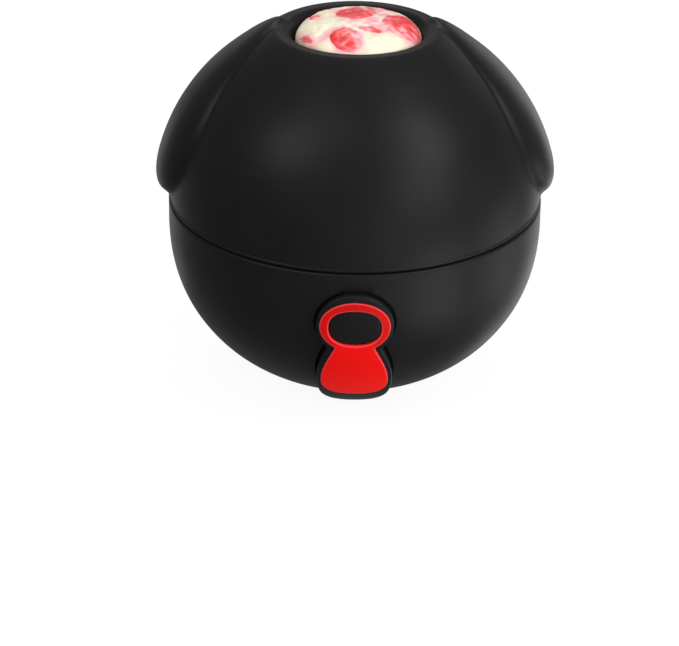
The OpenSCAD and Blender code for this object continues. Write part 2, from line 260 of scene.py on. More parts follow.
def grid_faces(turns, count, closed):
    faces = []
    last = count if closed else count - 1
    for i in range(turns):
        n = (i + 1) % turns
        for k in range(last):
            m = (k + 1) % count
            faces.append((i * count + k, n * count + k, n * count + m, i * count + m))
    return faces


def topped(wall, radius, rim, inner_share, rings):
    """A wall's outline with the rings of a top over it, and how far each stands off the top's height.

    The rim lists the outer rings, each as its share of the radius and how far off it stands.
    """
    shares, off = zip(*rim)
    radii = radius * np.concatenate([shares, np.linspace(inner_share, TOP_NEAR_AXIS, rings)])
    outline = np.concatenate([wall, np.stack([radii, 0 * radii], 1)])
    return outline, np.concatenate([off, np.zeros(rings)])


def capped(grid):
    """Points and faces of a turned grid whose two ends are closed on the axis."""
    turns, count = grid.shape[:2]
    ends = [[0, 0, grid[0, 0, 2]], [0, 0, grid[0, -1, 2]]]
    points = np.concatenate([grid.reshape(-1, 3), ends])
    faces = grid_faces(turns, count, False)
    for i in range(turns):
        n = (i + 1) % turns
        faces.append((turns * count, n * count, i * count))
        faces.append((turns * count + 1, i * count + count - 1, n * count + count - 1))
    return points, faces


def fill(flat, loops, spots):
    """Triangles that fill the first loop less the others. Spots are the points inside."""
    order = [i for loop in loops for i in loop] + list(spots)
    borders, place = [], 0
    for loop in loops:
        count = len(loop)
        borders += [(place + i, place + (i + 1) % count) for i in range(count)]
        place += count
    whole_hull = 0
    places = [Vector(flat[i]) for i in order]
    made = geometry.delaunay_2d_cdt(places, borders, [], whole_hull, SAME_CORNER)
    corners = np.array([tuple(corner) for corner in made[0]])
    triangles = [tuple(face) for face in made[2]]
    middles = np.array([corners[list(face)].mean(0) for face in triangles])
    keep = within(middles, np.array([flat[i] for i in loops[0]]))
    for loop in loops[1:]:
        keep &= ~within(middles, np.array([flat[i] for i in loop]))
    origin = [order[source[0]] for source in made[3]]
    return [tuple(origin[i] for i in face) for face, kept in zip(triangles, keep) if kept]


def plate(outline, rings, place, hole=None, hole_rings=(), rise=None, spacing=0.7):
    """A closed plate on a surface, as its points and faces.

    Each ring is how far inside the outline it lies and its height, from the hidden underside
    to the top. Rise gives the heights inside by distance from the rim. The points are those of
    the outline's rings, of the hole's rings and then of the top.
    """
    flat, heights, faces = [], [], []

    def ringed(shape, shape_rings, sign):
        first, count = len(flat), len(shape)
        for index, (distance, height) in enumerate(shape_rings):
            flat.extend(inset(shape, sign * distance))
            heights.extend([height] * count)
            if index:
                p = first + (index - 1) * count
                for i in range(count):
                    n = (i + 1) % count
                    quad = (p + i, p + n, p + count + n, p + count + i)
                    faces.append(quad if sign > 0 else quad[::-1])
        return list(range(first, first + count)), list(range(len(flat) - count, len(flat)))

    ends = [ringed(outline, rings, 1)]
    if hole is not None:
        ends.append(ringed(hole, hole_rings, -1))
    tops = [np.array([flat[i] for i in top]) for bottom, top in ends]
    low, high = tops[0].min(0), tops[0].max(0)
    xs, ys = np.meshgrid(np.arange(low[0], high[0], spacing), np.arange(low[1], high[1], spacing))
    spots = np.stack([xs.ravel(), ys.ravel()], 1)
    room = spacing * 0.5
    spots = spots[within(spots, tops[0]) & (distance_to(spots, tops[0]) > room)]
    if hole is not None:
        spots = spots[~within(spots, tops[1]) & (distance_to(spots, tops[1]) > room)]
    away = distance_to(spots, tops[0])
    first = len(flat)
    flat.extend(spots)
    heights.extend(rise(away) if rise else [rings[-1][1]] * len(spots))
    faces += fill(flat, [top for bottom, top in ends], range(first, len(flat)))
    faces += [face[::-1] for face in fill(flat, [bottom for bottom, top in ends], [])]
    flat, heights = np.array([tuple(p) for p in flat]), np.array(heights, float)
    return place(flat, heights), faces


def joined_shapes(shapes):
    """Several shapes' points and faces as one."""
    points, faces = [], []
    for shape_points, shape_faces in shapes:
        first = len(points)
        points.extend(shape_points)
        faces.extend(tuple(first + i for i in face) for face in shape_faces)
    return points, faces


# Materials


def new_material(name):
    material = bpy.data.materials.new(name)
    material.use_nodes = True
    tree = material.node_tree
    return material, tree, tree.nodes["Principled BSDF"]


def add(tree, kind, **values):
    """A new node, whose values go to its sockets of that name or else to its settings."""
    node = tree.nodes.new(kind)
    for key, value in values.items():
        if key in node.inputs:
            node.inputs[key].default_value = value
        else:
            setattr(node, key, value)
    return node


def noise(tree, place, scale, detail, roughness=0.55):
    node = add(tree, "ShaderNodeTexNoise", Scale=scale, Detail=detail, Roughness=roughness)
    tree.links.new(place, node.inputs["Vector"])
    return node.outputs["Fac"]


def painted(tree, name):
    """The values that a mesh carries under a name."""
    return add(tree, "ShaderNodeAttribute", attribute_name=name).outputs["Fac"]


def spread(tree, value, low, high):
    """A 0 to 1 value stretched between two numbers."""
    node = add(tree, "ShaderNodeMapRange", **{"To Min": low, "To Max": high})
    tree.links.new(value, node.inputs["Value"])
    return node.outputs["Result"]


def added(tree, value, share, rest=None):
    """A share of a value, and the rest if there is one."""
    node = add(tree, "ShaderNodeMath", operation="MULTIPLY_ADD")
    tree.links.new(value, node.inputs[0])
    node.inputs[1].default_value = share
    if rest is None:
        node.inputs[2].default_value = 0
    else:
        tree.links.new(rest, node.inputs[2])
    return node.outputs[0]


def ramp(tree, value, stops):
    node = tree.nodes.new("ShaderNodeValToRGB")
    tree.links.new(value, node.inputs["Fac"])
    elements = node.color_ramp.elements
    while len(elements) < len(stops):
        elements.new(0.5)
    for element, (place, colour) in zip(elements, stops):
        element.position = place
        element.color = (*colour, 1)
    return node.outputs["Color"]


def mixed(tree, factor, colour, other):
    """A colour with another mixed into it. Inputs 6 and 7 and output 2 are those for colours."""
    node = add(tree, "ShaderNodeMix", data_type="RGBA")
    tree.links.new(factor, node.inputs["Factor"])
    tree.links.new(colour, node.inputs[6])
    node.inputs[7].default_value = (*other, 1)
    return node.outputs[2]


def bumped(tree, shader, layers, strength):
    """A bump from the sum of (height, share) layers."""
    total = None
    for height, share in layers:
        total = added(tree, height, share, total)
    bump = add(tree, "ShaderNodeBump", Strength=strength, Distance=0.0002)
    tree.links.new(total, bump.inputs["Height"])
    tree.links.new(bump.outputs["Normal"], shader.inputs["Normal"])


def lit_within(shader, weight, radius, scale):
    """Light goes a little way into the material, each colour its own way."""
    shader.inputs["Subsurface Weight"].default_value = weight
    shader.inputs["Subsurface Radius"].default_value = radius
    shader.inputs["Subsurface Scale"].default_value = scale


def rubber(name, dark, light, roughness, specular, painted_light_colour=None, edge_highlight_colour=None):
    """Moulded rubber: a fine matt grain, faint cloudy colour and uneven sheen. It may carry painted light
    and a painted highlight on its edges, from values on the mesh.
    """
    uneven = 0.04
    material, tree, shader = new_material(name)
    place = tree.nodes.new("ShaderNodeTexCoord").outputs["Object"]
    cloud = noise(tree, place, scale=90, detail=4)
    grain = noise(tree, place, scale=2600, detail=2)
    pores = noise(tree, place, scale=900, detail=3)
    colour = ramp(tree, cloud, [(0.3, dark), (0.7, light)])
    # Painted light comes from the mesh's 'bright' values and a painted highlight from its 'edge' values
    for attribute, other in (("bright", painted_light_colour), ("edge", edge_highlight_colour)):
        if other:
            colour = mixed(tree, painted(tree, attribute), colour, other)
    tree.links.new(colour, shader.inputs["Base Color"])
    tree.links.new(spread(tree, cloud, roughness - uneven, roughness + uneven), shader.inputs["Roughness"])
    shader.inputs["Specular IOR Level"].default_value = specular
    bumped(tree, shader, [(grain, 0.6), (pores, 0.4)], strength=0.12)
    return material


def cream(name, shade, warm, pink):
    """Frozen yoghurt: milky, softly lit from within, with a wash of fruit juice."""
    material, tree, shader = new_material(name)
    place = tree.nodes.new("ShaderNodeTexCoord").outputs["Object"]
    large = noise(tree, place, scale=110, detail=4, roughness=0.6)
    small = noise(tree, place, scale=600, detail=4, roughness=0.6)
    colour = ramp(tree, large, [(0.35, shade), (0.65, warm)])
    colour = mixed(tree, painted(tree, "wash"), colour, pink)
    tree.links.new(colour, shader.inputs["Base Color"])
    tree.links.new(spread(tree, small, low=0.3, high=0.5), shader.inputs["Roughness"])
    lit_within(shader, weight=0.35, radius=(1.0, 0.7, 0.5), scale=0.0015)
    bumped(tree, shader, [(large, 0.7), (small, 0.3)], strength=0.5)
    return material


def fruit(name, deep, bright, pale):
    """Frozen strawberry: wet red flesh that pales towards its core, with fine fibres."""
    material, tree, shader = new_material(name)
    place = tree.nodes.new("ShaderNodeTexCoord").outputs["Object"]
    flesh = noise(tree, place, scale=420, detail=5, roughness=0.65)
    fibre = noise(tree, place, scale=1500, detail=4, roughness=0.6)
    ripeness = added(tree, flesh, share=0.75, rest=painted(tree, "ripe"))
    colour = ramp(tree, ripeness, [(0.36, pale), (0.7, bright), (1.0, deep)])
    tree.links.new(colour, shader.inputs["Base Color"])
    tree.links.new(spread(tree, fibre, low=0.18, high=0.42), shader.inputs["Roughness"])
    lit_within(shader, weight=0.3, radius=(1.0, 0.25, 0.2), scale=0.0012)
    bumped(tree, shader, [(flesh, 0.6), (fibre, 0.4)], strength=0.8)
    return material


black = rubber(
    "black_rubber", dark=(0.0072, 0.0072, 0.0074), light=(0.009, 0.009, 0.0092), roughness=0.4, specular=0.1
)
peg_black = rubber(
    "peg_rubber", dark=(0.008, 0.009, 0.016), light=(0.012, 0.013, 0.022), roughness=0.34, specular=0.3
)
# The red is painted lighter down the tongue and darker at the ring's top, as light falls, with a painted
# highlight on its rounded edges
red = rubber(
    "red_rubber", dark=(0.45, 0.004, 0.0035), light=(0.49, 0.006, 0.005), roughness=0.42, specular=0.1,
    painted_light_colour=(0.95, 0.004, 0.003), edge_highlight_colour=(0.66, 0.05, 0.055)
)
crown_cream = cream(
    "crown_cream", shade=(0.76, 0.73, 0.52), warm=(0.83, 0.81, 0.66), pink=(0.84, 0.36, 0.39)
)
disc_cream = cream(
    "disc_cream", shade=(0.5, 0.49, 0.46), warm=(0.68, 0.67, 0.63), pink=(0.7, 0.3, 0.3)
)
crown_berry = fruit(
    "crown_berry", deep=(0.7, 0.018, 0.018), bright=(0.78, 0.08, 0.09), pale=(0.86, 0.38, 0.42)
)
disc_berry = fruit(
    "disc_berry", deep=(0.74, 0.018, 0.022), bright=(0.93, 0.055, 0.065), pale=(0.95, 0.3, 0.3)
)


# How far the rubber's skin stands off its plain round, by height above the seam
SKIN_TRIM = [
    (-41.6, 0.0), (-36.0, 0.25), (-30.0, 0.45), (-22.0, 0.33), (-18.0, 0.1), (-14.0, -0.15), (-10.0, -0.45),
    (-6.0, -0.68), (-2.4, -0.8), (0.0, -0.8), (8.0, -0.7), (17.0, -0.55), (25.0, -0.5), (32.7, -0.5),
    (34.1, -0.3), (35.5, 0.1), (37.0, 0.2), (41.6, 0.2)
]
TRIM_SMOOTH = 2.5


def trim(z):
    """The skin's trim at heights above the seam, smoothed."""
    heights, values = np.array(SKIN_TRIM).T
    shifts = np.linspace(-TRIM_SMOOTH, TRIM_SMOOTH, 11)
    return np.mean([np.interp(z + shift, heights, values) for shift in shifts], 0)


def thread_reach(angle, z, start_angle, start_z, turns, width):
    """Share of a thread's full height at each place: a half round with tapered ends."""
    best = np.zeros(np.broadcast(angle, z).shape)
    for lap in range(-1, 3):
        turn = (angle - start_angle) / 360 + lap
        line = start_z + turn * PITCH
        across = np.clip(1 - ((z - line) / (width / 2)) ** 2, 0, 1)
        ends = smoothstep(turn / THREAD_TAPER_TURNS) * smoothstep((turns - turn) / THREAD_TAPER_TURNS)
        best = np.maximum(best, across ** THREAD_POWER * ends)
    return best


def move_wall(grid, wall, radius, proud):
    """Move the rings of a round wall outwards by how proud each place is."""
    grid[:, wall, :2] *= ((radius + proud) / radius)[:, :, None]


# The cover


EAR_WIDTH = 32.8
EAR_LENGTH = 36.6
EAR_END = 1.0
EAR_LEAN = 4.0
EAR_PROUD = 3.75
EAR_ROOT_PROUD = 0.5
EAR_EGG = 0.2
EAR_THIN = 0.9
EAR_TUCK = 1.0
EAR_TURN = 1.3
EAR_ROLL = 3.0
EAR_SIDE_ROLL = 9.5
EAR_SIDE_POWER = 0.8
EAR_ROLL_POWER = 0.72
EAR_SOFT = 0.7
EAR_SOFT_SINK = 0.12 * EAR_SOFT
EAR_FADE = 2
EAR_CUT = 1.5
EAR_CUT_OVER = 6
EAR_CREASE = 0.32
EAR_CREASE_WIDTH = 0.85
EAR_POINTS = 720
EAR_BLOCK = 60
LIP_ROUND = 0.1
LIP_BEVEL = 0.02
LIP_FOOT = 0.03
BORE_GAP = 0.4
BORE_STEP = 2.0
ROOM_BEVEL = 0.3
COVER_FOOT_R = 37.5
COVER_TURNS = 600
RIM_STEPS = 24
# The ears fade in over a height above the lip, and out from one angle round the hole's rim over another
EAR_FOOT_FADE = 0.5
EAR_RIM_FADE_FROM = 78
EAR_RIM_FADE_OVER = 55


def ear_outline(t):
    """Height above the seam and place front to back of the ear's edge, by angle from its root."""
    up = (1 + np.cos(t)) / 2
    half = EAR_WIDTH / 2 * (1 - EAR_EGG * np.cos(t)) - EAR_TUCK * (1 - up) ** 2
    return EAR_END + EAR_LENGTH * up, EAR_LEAN * up ** 2 + half * np.sin(t)


def ear_lift(points):
    """How far the ear on +X lifts the cover at points on its round surface."""
    z, y = ear_outline(np.linspace(0, 2 * np.pi, EAR_POINTS + 1)[:-1])
    edge = np.stack([np.sqrt(np.maximum(0, COVER_R ** 2 - y * y - z * z)), y, z], 1)
    away = np.full(len(points), FAR)
    for start in range(0, len(edge), EAR_BLOCK):
        gap = points[:, None, :] - edge[None, start:start + EAR_BLOCK, :]
        away = np.minimum(away, np.sqrt((gap ** 2).sum(2)).min(1))
    up = np.clip((points[:, 2] - EAR_END) / EAR_LENGTH, 0, 1)
    t = np.arccos(2 * up - 1)
    front, back = ear_outline(-t)[1], ear_outline(t)[1]
    inside = (points[:, 1] > front) & (points[:, 1] < back) & (points[:, 0] > 0)
    rise = EAR_ROOT_PROUD + (EAR_PROUD - EAR_ROOT_PROUD) * (1 - up) ** EAR_THIN
    depth = np.where(inside, away, -away)
    depth = (depth + np.sqrt(depth ** 2 + EAR_SOFT ** 2)) / 2 - EAR_SOFT_SINK
    side_roll = EAR_ROLL + (EAR_SIDE_ROLL - EAR_ROLL) * np.sin(np.pi * up ** EAR_SIDE_POWER)
    roll = np.clip(depth / side_roll, 0, 1)
    lifted = rise * (1 - (1 - roll) ** 2) ** EAR_ROLL_POWER
    fading = np.clip(EAR_CUT - away / EAR_CUT_OVER, 0, 1) * np.exp(-(away / EAR_FADE) ** 2)
    lifted = np.where(inside, lifted, lifted * fading)
    return lifted - EAR_CREASE * np.exp(-(away / EAR_CREASE_WIDTH) ** 2)


def make_cover():
    lip_r = math.sqrt(COVER_R ** 2 - LIP_HEIGHT ** 2) + LIP_PROUD
    inner_gap = SEAM_GAP + SHOULDER_RISE * (COVER_R - THREAD_ROOM_R) / (COVER_R - COLLAR_R)
    rim_angle = math.degrees(math.atan2(RIM_Z, RIM_R))
    lip_angle = math.degrees(math.asin((LIP_HEIGHT + LIP_PROUD) / COVER_R))
    lip_end = lip_r - LIP_PROUD + LIP_FOOT
    outside = joined(
        arc(lip_r - EDGE_ROUND, SEAM_GAP + EDGE_ROUND, EDGE_ROUND, -90, 0, 5),
        [[lip_r, LIP_HEIGHT - LIP_ROUND], [lip_r - LIP_BEVEL, LIP_HEIGHT - LIP_BEVEL]],
        [[lip_end, LIP_HEIGHT + LIP_FOOT]],
        arc(0, 0, COVER_R, lip_angle, rim_angle, 110),
    )
    rim = arc(RIM_R, RIM_Z, RIM_ROUND, rim_angle, 180, RIM_STEPS)[1:]
    hole_angle = math.degrees(math.acos(HOLE_R / DOME_R))
    room_angle = math.degrees(math.asin(DOME_FOOT / DOME_R))
    inside = spaced(joined(
        arc(0, 0, DOME_R, hole_angle, room_angle, 16),
        arc(COLLAR_R - COLLAR_ROUND, COLLAR_TOP - COLLAR_ROUND, COLLAR_ROUND + BORE_GAP, 90, 0, 8),
        [[BORE_R, THREAD_ROOM_TOP + THREAD_ROOM_R - BORE_R], [THREAD_ROOM_R, THREAD_ROOM_TOP]],
    ), BORE_STEP)
    room_foot = [THREAD_ROOM_R, inner_gap + ROOM_BEVEL]
    room = spaced(np.array([[THREAD_ROOM_R, THREAD_ROOM_TOP], room_foot]), THREAD_STEP)
    foot = np.array([[THREAD_ROOM_R + ROOM_BEVEL, inner_gap], [COVER_FOOT_R, 0.5 * (inner_gap + SEAM_GAP)]])
    outline = joined(outside, rim, inside, room[1:], foot)
    angles = even_angles(COVER_TURNS)
    grid = turned_grid(outline, angles)
    # Over the hole's rim the ears go on as if the ball did, and sink away past its top
    lifted = len(outside) + len(rim)
    virtual = outline[:lifted].copy()
    bent = np.linspace(rim_angle, 180, RIM_STEPS + 1)[1:]
    sphere_angle = np.radians(rim_angle + (bent - rim_angle) * RIM_ROUND / COVER_R)
    virtual[len(outside):] = COVER_R * np.stack([np.cos(sphere_angle), np.sin(sphere_angle)], 1)
    normals = outline[:lifted] / COVER_R
    normals[len(outside):] = np.stack([np.cos(np.radians(bent)), np.sin(np.radians(bent))], 1)
    fade = smoothstep((outline[:lifted, 1] - LIP_HEIGHT) / EAR_FOOT_FADE)
    fade[len(outside):] = 1 - smoothstep((bent - EAR_RIM_FADE_FROM) / EAR_RIM_FADE_OVER)
    ball = turned_grid(virtual, angles - math.radians(EAR_TURN)).reshape(-1, 3)
    mirrored = ball * np.array([-1, 1, 1])
    lift = (ear_lift(ball) + ear_lift(mirrored)).reshape(COVER_TURNS, lifted) * fade
    lift += trim(outline[:lifted, 1])[None, :]
    grid[:, :lifted] += turned_grid(normals, angles) * lift[:, :, None]
    # The ridge that rides under the collar's bead
    on_room = np.abs(outline[:, 0] - THREAD_ROOM_R) < SAME_WALL
    wall = np.where(on_room & (np.arange(len(outline)) >= lifted))[0]
    reach = thread_reach(
        np.degrees(angles)[:, None], outline[wall][None, :, 1], RIDGE_ANGLE, RIDGE_START, RIDGE_TURNS,
        RIDGE_WIDTH
    )
    move_wall(grid, wall, THREAD_ROOM_R, -THREAD_HEIGHT * reach)
    grid[:, :, 2] += SEAM
    make_mesh(
        "cover_skin", grid.reshape(-1, 3), grid_faces(COVER_TURNS, len(outline), True), "cover", black,
        ["cover_shell"]
    )


# The nose and tongue: depths below the seam, and heights over the belly


NOSE_DEPTH = 11.2
NOSE_POINTS = 160
RING_DEPTH = 10.95
NECK_GAP = 0.3
TONGUE_MIDDLE = 24.3
TONGUE_POWER = 0.77
FRONT_SHIFT = 0.1
LEAST_SIDE = 1e-6
PAD_PROUD = 1.9
PAD_TOP_PROUD = 1.1
SHRINK_FROM = 8
SHRINK_OVER = 14
# Rings from each piece's hidden underside to its top: how far inside the outline, and height
PAD_RINGS = [(0, -0.6), (0, 0.1), (0, 1.3), (0.06, 1.62), (0.2, 1.82), (0.4, PAD_PROUD)]
PAD_HOLE_RINGS = [(0.1, 1.2), (0.12, 1.75), (0.2, 1.86), (0.35, PAD_PROUD)]
NOSE_RINGS = [(-0.2, 1.0), (-0.1, 1.5), (0.15, 1.7), (0.35, 1.78), (0.6, 1.8)]
RED_ROUND = [(0, 2.0), (0.03, 2.18), (0.1, 2.27), (0.2, 2.31), (0.34, 2.32)]
RED_RINGS = [(0, 1.5)] + RED_ROUND
RED_HOLE_RINGS = [(0, 1.1)] + RED_ROUND
# Painted highlight on the red's rounded edges: how strongly it is painted on each of its rings
RED_EDGE_HIGHLIGHT = [0, 0, 0.8, 1, 0.7, 0]
# The red's painted light and shade: darker at the ring's top, brighter down the tongue; height above the
# foot, and how much painted light there is there
RED_PAINTED_LIGHT = [(14.6, 1.0), (17.7, 0.9), (20.8, 0.7), (25.8, 0.62), (26.6, 0.16), (33.0, 0.16), (36.0, 0)]


def belly_point(x, depth, height):
    """A place on the belly's front by its width and depth below the seam, and the height over it."""
    z = SEAM + depth
    low = z < BELLY_Z
    dz = np.where(low, z - BELLY_Z, 0.0)
    side = np.sqrt(np.maximum(LEAST_SIDE, 1 - (dz / BELLY_DEPTH) ** 2))
    radius = BELLY_OUT + BELLY_R * side
    y = -np.sqrt(np.maximum(0, radius ** 2 - x ** 2))
    slope = np.where(low, BELLY_R * (-dz / BELLY_DEPTH ** 2) / side, 0.0)
    normal = np.stack([x / radius, y / radius, -slope], -1)
    normal /= np.linalg.norm(normal, axis=-1)[..., None]
    return np.stack([x, y, z], -1) + normal * (height + trim(depth))[..., None]


def on_belly(flat, heights):
    """Places on the belly: heights are for the tongue's end and shrink towards the nose."""
    lower = smoothstep((-flat[:, 1] - SHRINK_FROM) / SHRINK_OVER)
    share = (PAD_TOP_PROUD + (PAD_PROUD - PAD_TOP_PROUD) * lower) / PAD_PROUD
    return belly_point(flat[:, 0] + FRONT_SHIFT, flat[:, 1], np.where(heights > 0, heights * share, heights))


def nose_outline(width, height, power):
    t = even_angles(NOSE_POINTS)
    c, s = np.cos(t), np.sin(t)
    return np.stack([
        width / 2 * np.sign(c) * np.abs(c) ** power,
        -NOSE_DEPTH + height / 2 * np.sign(s) * np.abs(s) ** power
    ], 1)


def tag_outline(oval_width, oval_height, neck, width, tip):
    """The oval round the nose, open at its foot, where the tongue goes on."""
    open_angle = math.degrees(math.acos(neck / oval_width))
    top = oval_arc(0, -RING_DEPTH, oval_width / 2, oval_height / 2, -open_angle, 180 + open_angle, 90)
    neck_depth = NECK_GAP - top[0, 1]
    share = np.linspace(0, 1, 16)
    flank = np.stack([
        neck / 2 + (width - neck) / 2 * np.sin(np.pi / 2 * share),
        -neck_depth - (TONGUE_MIDDLE - neck_depth) * share
    ], 1)
    t = np.linspace(0, np.pi / 2, 26)[1:]
    foot = np.stack([
        width / 2 * np.maximum(0, np.cos(t)) ** TONGUE_POWER,
        -TONGUE_MIDDLE - (tip - TONGUE_MIDDLE) * np.sin(t) ** TONGUE_POWER
    ], 1)
    side = np.concatenate([flank, foot])
    return joined(top, side * np.array([-1, 1]), side[-2::-1])


PAD_OUTLINE = softened(
    tag_outline(oval_width=15.4, oval_height=13.9, neck=10.7, width=14.9, tip=35.2), step=0.25, passes=4
)


def make_front():
    tongue = softened(
        tag_outline(oval_width=14.0, oval_height=11.0, neck=7.8, width=13.0, tip=29.3), step=0.2, passes=4
    )
    nose = softened(nose_outline(width=10.4, height=7.7, power=0.84), step=0.2, passes=4)
    points, faces = plate(PAD_OUTLINE, PAD_RINGS, on_belly, nose, PAD_HOLE_RINGS)
    make_mesh("pad", points, faces, "base", black, ["nose_pad"])
    points, faces = plate(nose, NOSE_RINGS, on_belly)
    make_mesh("nose", points, faces, "base", black)
    points, faces = plate(tongue, RED_RINGS, on_belly, nose, RED_HOLE_RINGS)
    piece = make_mesh("tongue", points, faces, "base", red, ["tongue_inlay"])
    # Painted highlight along the red's rounded edges, ring by ring
    edge_highlights = np.concatenate([np.repeat(RED_EDGE_HIGHLIGHT, len(tongue)), np.repeat(RED_EDGE_HIGHLIGHT, len(nose))])
    set_attribute(piece, "edge", np.pad(edge_highlights, (0, len(points) - len(edge_highlights))))
    # Painted light and shade on the red by height: brighter down the tongue, darker at the ring's top
    heights, shares = zip(*RED_PAINTED_LIGHT)
    set_attribute(piece, "bright", np.interp(np.asarray(points)[:, 2], heights, shares))


# The base: the front has finer turns, in degrees, for the groove round the pad


FINE_FROM = 64.0
FINE_SIDE = 14.0
FINE_STEP = 0.3
PLAIN_STEP = 1.0
GROOVE_DEPTH = 0.5
GROOVE_WIDTH = 0.6
GROOVE_SOFT = GROOVE_WIDTH * 0.8
GROOVE_REACH = 11
GROOVE_FROM_R = 12
BELT_TOP = SEAM - 2.0
BELT_FOOT = SEAM - 3.0
SHOULDER_DIP = 0.04
SHOULDER_DIP_OUT = 0.5
COLLAR_FILLET = 0.35
COLLAR_FILLET_UP = 0.3
COLLAR_FOOT = 0.4
MOUTH_FLAT = 0.5
CUP_STEP = 3


def make_base():
    skin = joined(
        oval_arc(BELLY_OUT, BELLY_Z, BELLY_R, BELLY_DEPTH, -FOOT_ANGLE, -FINE_FROM, 24),
        oval_arc(BELLY_OUT, BELLY_Z, BELLY_R, BELLY_DEPTH, -FINE_FROM, 0, 230),
        [[BASE_R, BELT_FOOT], [BASE_R, BELT_TOP]],
        arc(BASE_R - EDGE_ROUND, SEAM - EDGE_ROUND, EDGE_ROUND, 0, 86, 5),
    )
    outward = skin - [BELLY_OUT, BELLY_Z]
    outward[skin[:, 1] > BELLY_Z] = [1, 0]
    outward /= np.linalg.norm(outward, axis=1)[:, None]
    skin += outward * trim(skin[:, 1] - SEAM)[:, None]
    collar_top = SEAM + COLLAR_TOP
    shoulder = SEAM + SHOULDER_RISE
    outside = joined(
        level(0.0, BASE_NEAR_AXIS, FOOT_MIDWAY),
        skin,
        level(shoulder - SHOULDER_DIP, COLLAR_R + SHOULDER_DIP_OUT),
        arc(COLLAR_R + COLLAR_FILLET, shoulder + COLLAR_FILLET_UP, COLLAR_FILLET, 270, 180, 3),
    )
    collar_wall = [[COLLAR_R, shoulder + COLLAR_FOOT], [COLLAR_R, collar_top - COLLAR_ROUND]]
    collar = spaced(np.array(collar_wall), THREAD_STEP)
    cup_top = collar_top - MOUTH_ROUND - MOUTH_FLAT
    cup_wall = [[MOUTH_R, cup_top], [MOUTH_R, BOTTOM_WALL + FLOOR_ROUND]]
    inside = joined(
        arc(COLLAR_R - COLLAR_ROUND, collar_top - COLLAR_ROUND, COLLAR_ROUND, 0, 90, 12),
        arc(MOUTH_R + MOUTH_ROUND, collar_top - MOUTH_ROUND, MOUTH_ROUND, 90, 180, 8),
        spaced(np.array(cup_wall), CUP_STEP),
        cup_floor(0, 0, -90, 10),
        level(BOTTOM_WALL, FLOOR_MIDWAY, BASE_NEAR_AXIS),
    )
    outline = joined(outside, collar, inside[1:])
    front = np.arange(-90 - FINE_SIDE, -90 + FINE_SIDE, FINE_STEP)
    rest = np.arange(-90 + FINE_SIDE, 270 - FINE_SIDE, PLAIN_STEP)
    angles = np.radians(np.concatenate([front, rest]))
    grid = turned_grid(outline, angles)
    # A groove in the belly round the pad of the nose and tongue
    flat = np.stack([grid[:, :, 0] - FRONT_SHIFT, grid[:, :, 2] - SEAM], 2)
    near_pad = (np.abs(flat[:, :, 0]) < GROOVE_REACH) & (flat[:, :, 1] < 0)
    facing = (grid[:, :, 1] < 0) & near_pad & (outline[:, 0] > GROOVE_FROM_R)
    away = distance_to(flat[facing], PAD_OUTLINE)
    away = np.where(within(flat[facing], PAD_OUTLINE), -away, away)
    sunk = GROOVE_DEPTH * smoothstep((GROOVE_WIDTH - away) / GROOVE_SOFT)
    spots = grid[facing]
    inward = spots - [0, 0, BELLY_Z]
    inward /= np.linalg.norm(inward, axis=1)[:, None]
    grid[facing] = spots - inward * sunk[:, None]
    # The bead on the collar
    wall = np.where(np.abs(outline[:, 0] - COLLAR_R) < SAME_WALL)[0]
    reach = thread_reach(
        np.degrees(angles)[:, None], outline[wall][None, :, 1] - SEAM, BEAD_ANGLE, BEAD_START, BEAD_TURNS,
        BEAD_WIDTH
    )
    move_wall(grid, wall, COLLAR_R, THREAD_HEIGHT * reach)
    points, faces = capped(grid)
    make_mesh("base_skin", points, faces, "base", black, ["base_shell"])


# The filling of the cover: heights above the seam


CROWN_R = 13.2
CROWN_TOP = 39.2
CROWN_SHIFT = 0.3
CROWN_ROUND = 4.0
CROWN_FALL = 1
CROWN_FRONT = 36.1
CROWN_SLOPE_TOP = CROWN_TOP - 0.1
CROWN_SLOPE_FROM = 0.9
CROWN_SLOPE_OVER = 1.5
CROWN_EVEN_RIM = 2
CROWN_TURNS = 240
CROWN_RIM = [(1, -0.5), (0.995, -0.2), (0.98, -0.05)]
CROWN_TOP_FROM = 0.96
CROWN_TOP_RINGS = 52
CROWN_WALL_TOP = 33.4
CROWN_SHIFT_FROM = 30
CROWN_SHIFT_OVER = 5
PLUG_R = 35.25
PLUG_BOTTOM = 20.0
FRUIT_WAVE = 0.18
FRUIT_EDGE_PROUD = 0.02
FRUIT_PROUD = 0.2
FRUIT_SWELL = 0.9
FRUIT_RINGS = [(-0.05, -1.3), (0, -0.06), (0.12, FRUIT_EDGE_PROUD)]
JUICE_REACH = 0.8
WASH_REACH = 1.2
WASH_PATCHY = 0.75
STAIN_LEAST = 0.25
STAIN_MOST = 0.5
RIPE_MIDDLE = 0.42
RIPE_SKIN = 1.1
RIPE_SKIN_POWER = 0.4

